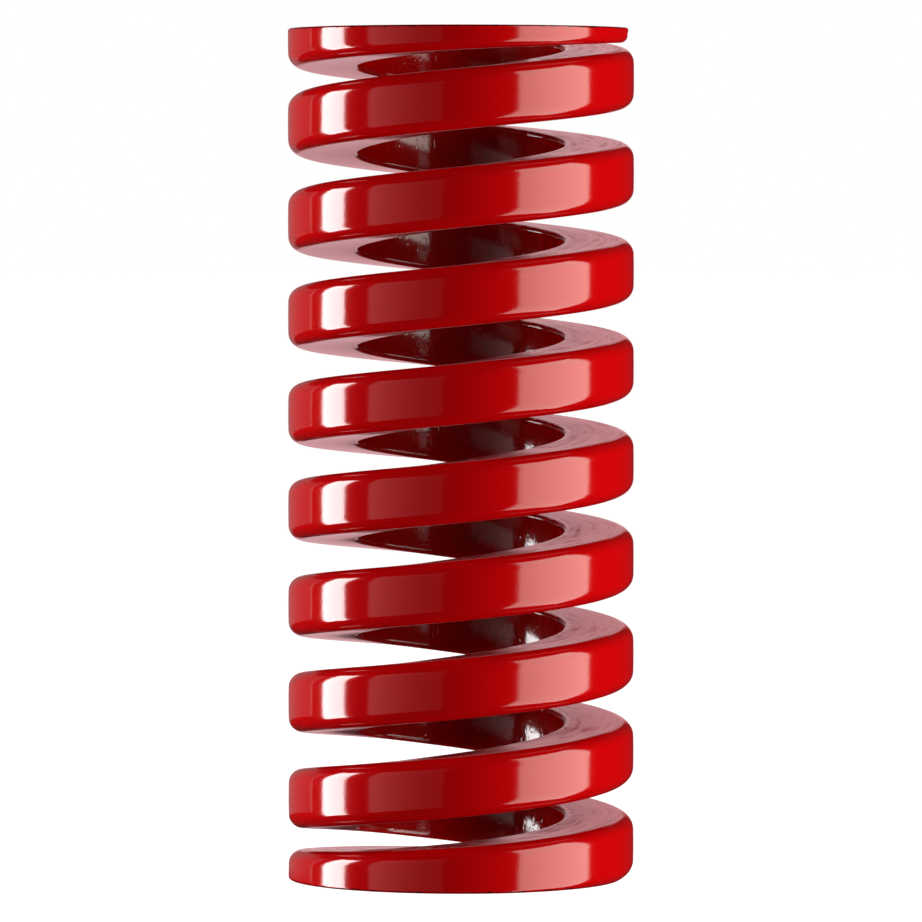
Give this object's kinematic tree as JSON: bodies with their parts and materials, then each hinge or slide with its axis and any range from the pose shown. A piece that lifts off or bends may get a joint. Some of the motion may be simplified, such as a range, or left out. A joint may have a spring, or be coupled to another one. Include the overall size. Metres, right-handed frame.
{
  "type": "die spring",
  "caption": "Heavy-load die spring: a helical compression spring of rectangular wire, closed and ground flat at both ends, enamelled glossy red.",
  "frame": {"origin": "on the coil's axis, in the plane of the ground face that the spring stands on", "axes": "+Z along the coil's axis, from the lower ground face to the upper one; +X points so that the upper wire tip lies 15 degrees before it, seen winding upwards"},
  "size_m": [0.0308, 0.0308, 0.076],
  "materials": {
    "red_enamel": "gloss"
  },
  "bodies": {
    "bottom_end_coil": {"bottom_end_coil": "red_enamel"},
    "coil_1_quarter_1": {"coil_1_quarter_1": "red_enamel"},
    "coil_1_quarter_2": {"coil_1_quarter_2": "red_enamel"},
    "coil_1_quarter_3": {"coil_1_quarter_3": "red_enamel"},
    "coil_1_quarter_4": {"coil_1_quarter_4": "red_enamel"},
    "coil_2_quarter_1": {"coil_2_quarter_1": "red_enamel"},
    "coil_2_quarter_2": {"coil_2_quarter_2": "red_enamel"},
    "coil_2_quarter_3": {"coil_2_quarter_3": "red_enamel"},
    "coil_2_quarter_4": {"coil_2_quarter_4": "red_enamel"},
    "coil_3_quarter_1": {"coil_3_quarter_1": "red_enamel"},
    "coil_3_quarter_2": {"coil_3_quarter_2": "red_enamel"},
    "coil_3_quarter_3": {"coil_3_quarter_3": "red_enamel"},
    "coil_3_quarter_4": {"coil_3_quarter_4": "red_enamel"},
    "coil_4_quarter_1": {"coil_4_quarter_1": "red_enamel"},
    "coil_4_quarter_2": {"coil_4_quarter_2": "red_enamel"},
    "coil_4_quarter_3": {"coil_4_quarter_3": "red_enamel"},
    "coil_4_quarter_4": {"coil_4_quarter_4": "red_enamel"},
    "coil_5_quarter_1": {"coil_5_quarter_1": "red_enamel"},
    "coil_5_quarter_2": {"coil_5_quarter_2": "red_enamel"},
    "coil_5_quarter_3": {"coil_5_quarter_3": "red_enamel"},
    "coil_5_quarter_4": {"coil_5_quarter_4": "red_enamel"},
    "coil_6_quarter_1": {"coil_6_quarter_1": "red_enamel"},
    "coil_6_quarter_2": {"coil_6_quarter_2": "red_enamel"},
    "coil_6_quarter_3": {"coil_6_quarter_3": "red_enamel"},
    "coil_6_quarter_4": {"coil_6_quarter_4": "red_enamel"},
    "coil_7_quarter_1": {"coil_7_quarter_1": "red_enamel"},
    "coil_7_quarter_2": {"coil_7_quarter_2": "red_enamel"},
    "coil_7_quarter_3": {"coil_7_quarter_3": "red_enamel"},
    "coil_7_quarter_4": {"coil_7_quarter_4": "red_enamel"},
    "coil_8_quarter_1": {"coil_8_quarter_1": "red_enamel"},
    "coil_8_quarter_2": {"coil_8_quarter_2": "red_enamel"},
    "coil_8_quarter_3": {"coil_8_quarter_3": "red_enamel"},
    "top_end_coil": {"top_end_coil": "red_enamel"}
  },
  "joints": [
    {"name": "compression", "type": "slide", "parent": "bottom_end_coil", "child": "top_end_coil", "axis": [0, 0, -1], "range_m": [0, 0.0228], "stiffness_N_per_m": 134400},
    {"name": "coil_1_quarter_1_travel", "type": "slide", "parent": "bottom_end_coil", "child": "coil_1_quarter_1", "axis": [0, 0, -1], "range_m": [0, 0.00038], "stiffness_N_per_m": 600},
    {"name": "coil_1_quarter_2_travel", "type": "slide", "parent": "bottom_end_coil", "child": "coil_1_quarter_2", "axis": [0, 0, -1], "range_m": [0, 0.00112], "stiffness_N_per_m": 600},
    {"name": "coil_1_quarter_3_travel", "type": "slide", "parent": "bottom_end_coil", "child": "coil_1_quarter_3", "axis": [0, 0, -1], "range_m": [0, 0.00185], "stiffness_N_per_m": 600},
    {"name": "coil_1_quarter_4_travel", "type": "slide", "parent": "bottom_end_coil", "child": "coil_1_quarter_4", "axis": [0, 0, -1], "range_m": [0, 0.00259], "stiffness_N_per_m": 600},
    {"name": "coil_2_quarter_1_travel", "type": "slide", "parent": "bottom_end_coil", "child": "coil_2_quarter_1", "axis": [0, 0, -1], "range_m": [0, 0.00332], "stiffness_N_per_m": 600},
    {"name": "coil_2_quarter_2_travel", "type": "slide", "parent": "bottom_end_coil", "child": "coil_2_quarter_2", "axis": [0, 0, -1], "range_m": [0, 0.00406], "stiffness_N_per_m": 600},
    {"name": "coil_2_quarter_3_travel", "type": "slide", "parent": "bottom_end_coil", "child": "coil_2_quarter_3", "axis": [0, 0, -1], "range_m": [0, 0.0048], "stiffness_N_per_m": 600},
    {"name": "coil_2_quarter_4_travel", "type": "slide", "parent": "bottom_end_coil", "child": "coil_2_quarter_4", "axis": [0, 0, -1], "range_m": [0, 0.00553], "stiffness_N_per_m": 600},
    {"name": "coil_3_quarter_1_travel", "type": "slide", "parent": "bottom_end_coil", "child": "coil_3_quarter_1", "axis": [0, 0, -1], "range_m": [0, 0.00627], "stiffness_N_per_m": 600},
    {"name": "coil_3_quarter_2_travel", "type": "slide", "parent": "bottom_end_coil", "child": "coil_3_quarter_2", "axis": [0, 0, -1], "range_m": [0, 0.007], "stiffness_N_per_m": 600},
    {"name": "coil_3_quarter_3_travel", "type": "slide", "parent": "bottom_end_coil", "child": "coil_3_quarter_3", "axis": [0, 0, -1], "range_m": [0, 0.00774], "stiffness_N_per_m": 600},
    {"name": "coil_3_quarter_4_travel", "type": "slide", "parent": "bottom_end_coil", "child": "coil_3_quarter_4", "axis": [0, 0, -1], "range_m": [0, 0.00847], "stiffness_N_per_m": 600},
    {"name": "coil_4_quarter_1_travel", "type": "slide", "parent": "bottom_end_coil", "child": "coil_4_quarter_1", "axis": [0, 0, -1], "range_m": [0, 0.00921], "stiffness_N_per_m": 600},
    {"name": "coil_4_quarter_2_travel", "type": "slide", "parent": "bottom_end_coil", "child": "coil_4_quarter_2", "axis": [0, 0, -1], "range_m": [0, 0.00994], "stiffness_N_per_m": 600},
    {"name": "coil_4_quarter_3_travel", "type": "slide", "parent": "bottom_end_coil", "child": "coil_4_quarter_3", "axis": [0, 0, -1], "range_m": [0, 0.01068], "stiffness_N_per_m": 600},
    {"name": "coil_4_quarter_4_travel", "type": "slide", "parent": "bottom_end_coil", "child": "coil_4_quarter_4", "axis": [0, 0, -1], "range_m": [0, 0.01141], "stiffness_N_per_m": 600},
    {"name": "coil_5_quarter_1_travel", "type": "slide", "parent": "bottom_end_coil", "child": "coil_5_quarter_1", "axis": [0, 0, -1], "range_m": [0, 0.01215], "stiffness_N_per_m": 600},
    {"name": "coil_5_quarter_2_travel", "type": "slide", "parent": "bottom_end_coil", "child": "coil_5_quarter_2", "axis": [0, 0, -1], "range_m": [0, 0.01289], "stiffness_N_per_m": 600},
    {"name": "coil_5_quarter_3_travel", "type": "slide", "parent": "bottom_end_coil", "child": "coil_5_quarter_3", "axis": [0, 0, -1], "range_m": [0, 0.01362], "stiffness_N_per_m": 600},
    {"name": "coil_5_quarter_4_travel", "type": "slide", "parent": "bottom_end_coil", "child": "coil_5_quarter_4", "axis": [0, 0, -1], "range_m": [0, 0.01436], "stiffness_N_per_m": 600},
    {"name": "coil_6_quarter_1_travel", "type": "slide", "parent": "bottom_end_coil", "child": "coil_6_quarter_1", "axis": [0, 0, -1], "range_m": [0, 0.01509], "stiffness_N_per_m": 600},
    {"name": "coil_6_quarter_2_travel", "type": "slide", "parent": "bottom_end_coil", "child": "coil_6_quarter_2", "axis": [0, 0, -1], "range_m": [0, 0.01583], "stiffness_N_per_m": 600},
    {"name": "coil_6_quarter_3_travel", "type": "slide", "parent": "bottom_end_coil", "child": "coil_6_quarter_3", "axis": [0, 0, -1], "range_m": [0, 0.01656], "stiffness_N_per_m": 600},
    {"name": "coil_6_quarter_4_travel", "type": "slide", "parent": "bottom_end_coil", "child": "coil_6_quarter_4", "axis": [0, 0, -1], "range_m": [0, 0.0173], "stiffness_N_per_m": 600},
    {"name": "coil_7_quarter_1_travel", "type": "slide", "parent": "bottom_end_coil", "child": "coil_7_quarter_1", "axis": [0, 0, -1], "range_m": [0, 0.01803], "stiffness_N_per_m": 600},
    {"name": "coil_7_quarter_2_travel", "type": "slide", "parent": "bottom_end_coil", "child": "coil_7_quarter_2", "axis": [0, 0, -1], "range_m": [0, 0.01877], "stiffness_N_per_m": 600},
    {"name": "coil_7_quarter_3_travel", "type": "slide", "parent": "bottom_end_coil", "child": "coil_7_quarter_3", "axis": [0, 0, -1], "range_m": [0, 0.01951], "stiffness_N_per_m": 600},
    {"name": "coil_7_quarter_4_travel", "type": "slide", "parent": "bottom_end_coil", "child": "coil_7_quarter_4", "axis": [0, 0, -1], "range_m": [0, 0.02024], "stiffness_N_per_m": 600},
    {"name": "coil_8_quarter_1_travel", "type": "slide", "parent": "bottom_end_coil", "child": "coil_8_quarter_1", "axis": [0, 0, -1], "range_m": [0, 0.02098], "stiffness_N_per_m": 600},
    {"name": "coil_8_quarter_2_travel", "type": "slide", "parent": "bottom_end_coil", "child": "coil_8_quarter_2", "axis": [0, 0, -1], "range_m": [0, 0.02171], "stiffness_N_per_m": 600},
    {"name": "coil_8_quarter_3_travel", "type": "slide", "parent": "bottom_end_coil", "child": "coil_8_quarter_3", "axis": [0, 0, -1], "range_m": [0, 0.02245], "stiffness_N_per_m": 600}
  ],
  "couplings": [
    {"joint": "coil_1_quarter_1_travel", "follows": "compression", "ratio": 0.016129},
    {"joint": "coil_1_quarter_2_travel", "follows": "compression", "ratio": 0.048387},
    {"joint": "coil_1_quarter_3_travel", "follows": "compression", "ratio": 0.080645},
    {"joint": "coil_1_quarter_4_travel", "follows": "compression", "ratio": 0.1129},
    {"joint": "coil_2_quarter_1_travel", "follows": "compression", "ratio": 0.14516},
    {"joint": "coil_2_quarter_2_travel", "follows": "compression", "ratio": 0.17742},
    {"joint": "coil_2_quarter_3_travel", "follows": "compression", "ratio": 0.20968},
    {"joint": "coil_2_quarter_4_travel", "follows": "compression", "ratio": 0.24194},
    {"joint": "coil_3_quarter_1_travel", "follows": "compression", "ratio": 0.27419},
    {"joint": "coil_3_quarter_2_travel", "follows": "compression", "ratio": 0.30645},
    {"joint": "coil_3_quarter_3_travel", "follows": "compression", "ratio": 0.33871},
    {"joint": "coil_3_quarter_4_travel", "follows": "compression", "ratio": 0.37097},
    {"joint": "coil_4_quarter_1_travel", "follows": "compression", "ratio": 0.40323},
    {"joint": "coil_4_quarter_2_travel", "follows": "compression", "ratio": 0.43548},
    {"joint": "coil_4_quarter_3_travel", "follows": "compression", "ratio": 0.46774},
    {"joint": "coil_4_quarter_4_travel", "follows": "compression", "ratio": 0.5},
    {"joint": "coil_5_quarter_1_travel", "follows": "compression", "ratio": 0.53226},
    {"joint": "coil_5_quarter_2_travel", "follows": "compression", "ratio": 0.56452},
    {"joint": "coil_5_quarter_3_travel", "follows": "compression", "ratio": 0.59677},
    {"joint": "coil_5_quarter_4_travel", "follows": "compression", "ratio": 0.62903},
    {"joint": "coil_6_quarter_1_travel", "follows": "compression", "ratio": 0.66129},
    {"joint": "coil_6_quarter_2_travel", "follows": "compression", "ratio": 0.69355},
    {"joint": "coil_6_quarter_3_travel", "follows": "compression", "ratio": 0.72581},
    {"joint": "coil_6_quarter_4_travel", "follows": "compression", "ratio": 0.75806},
    {"joint": "coil_7_quarter_1_travel", "follows": "compression", "ratio": 0.79032},
    {"joint": "coil_7_quarter_2_travel", "follows": "compression", "ratio": 0.82258},
    {"joint": "coil_7_quarter_3_travel", "follows": "compression", "ratio": 0.85484},
    {"joint": "coil_7_quarter_4_travel", "follows": "compression", "ratio": 0.8871},
    {"joint": "coil_8_quarter_1_travel", "follows": "compression", "ratio": 0.91936},
    {"joint": "coil_8_quarter_2_travel", "follows": "compression", "ratio": 0.95161},
    {"joint": "coil_8_quarter_3_travel", "follows": "compression", "ratio": 0.98387}
  ]
}
